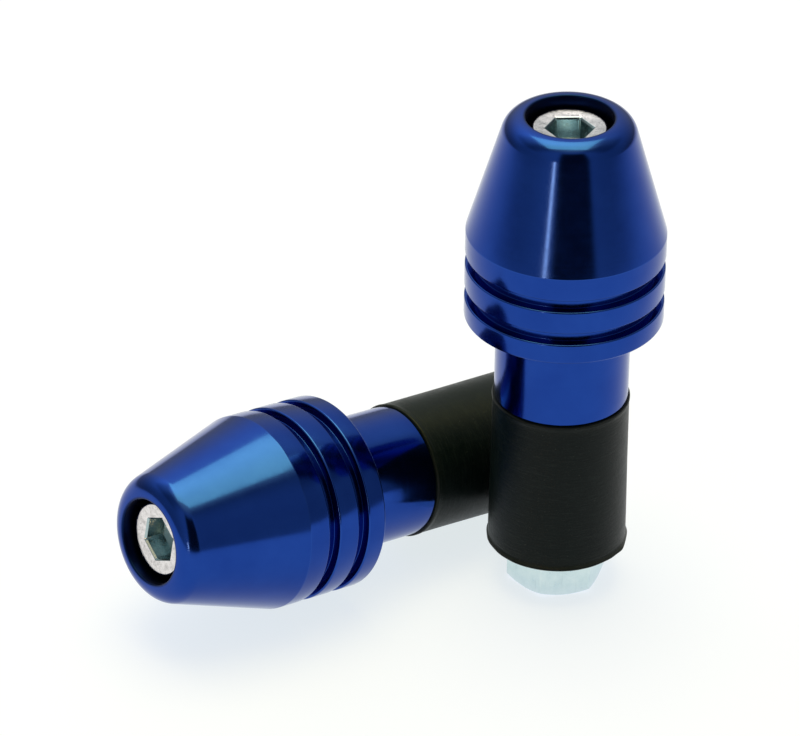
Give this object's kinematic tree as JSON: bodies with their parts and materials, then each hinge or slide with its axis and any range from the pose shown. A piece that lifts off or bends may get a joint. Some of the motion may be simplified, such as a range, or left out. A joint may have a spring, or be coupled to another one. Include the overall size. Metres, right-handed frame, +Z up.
{
  "type": "handlebar end weight",
  "caption": "Cone-nosed weights that plug a handlebar's ends: a cap screw draws a nut along and swells a rubber sleeve inside the tube. Stored side by side, standing and lying.",
  "frame": {"origin": "on the surface that the pair stands and lies on, at the middle of the pair's footprint", "axes": "+Z up, along the standing unit's axis from its nut to its nose; +X along the pair's longer side, from the lying unit's nose towards the standing unit; the picture looks along +Y"},
  "size_m": [0.0734, 0.0556, 0.0719],
  "materials": {
    "anodised_aluminium": "blue anodised, polished",
    "screw_steel": "bright zinc plated",
    "washer_steel": "zinc plated spring steel",
    "sleeve_rubber": "moulded, matt",
    "nut_steel": "pale zinc plated"
  },
  "bodies": {
    "upright_unit": {"end_weight_upright": "anodised_aluminium", "lock_washer_upright": "washer_steel", "expander_sleeve_upright": "sleeve_rubber"},
    "upright_screw": {"cap_screw_upright": "screw_steel"},
    "upright_nut": {"hex_nut_upright": "nut_steel"},
    "lying_unit": {"end_weight_lying": "anodised_aluminium", "lock_washer_lying": "washer_steel", "expander_sleeve_lying": "sleeve_rubber"},
    "lying_screw": {"cap_screw_lying": "screw_steel"},
    "lying_nut": {"hex_nut_lying": "nut_steel"}
  },
  "joints": [
    {"name": "screw_turn_upright", "type": "hinge", "parent": "upright_unit", "child": "upright_screw", "pos_m": [0.02322, -0.00191, 0.0644], "axis": [0, 0, -1], "range_deg": [0, 1440]},
    {"name": "nut_draw_upright", "type": "slide", "parent": "upright_unit", "child": "upright_nut", "axis": [0, 0, 1], "range_m": [0, 0.004], "deforming": ["expander_sleeve_upright"]},
    {"name": "unit_apart", "type": "slide", "parent": "upright_unit", "child": "lying_unit", "axis": [-0.6293, 0.7771, 0], "range_m": [0, 0.12]},
    {"name": "screw_turn_lying", "type": "hinge", "parent": "lying_unit", "child": "lying_screw", "pos_m": [-0.02631, -0.01711, 0.01598], "axis": [0.772, 0.6251, -0.1152], "range_deg": [0, 1440]},
    {"name": "nut_draw_lying", "type": "slide", "parent": "lying_unit", "child": "lying_nut", "axis": [-0.772, -0.6251, 0.1152], "range_m": [0, 0.004], "deforming": ["expander_sleeve_lying"]}
  ],
  "couplings": [
    {"joint": "nut_draw_upright", "follows": "screw_turn_upright", "m_per_rad": 0.00015915},
    {"joint": "nut_draw_lying", "follows": "screw_turn_lying", "m_per_rad": 0.00015915}
  ]
}
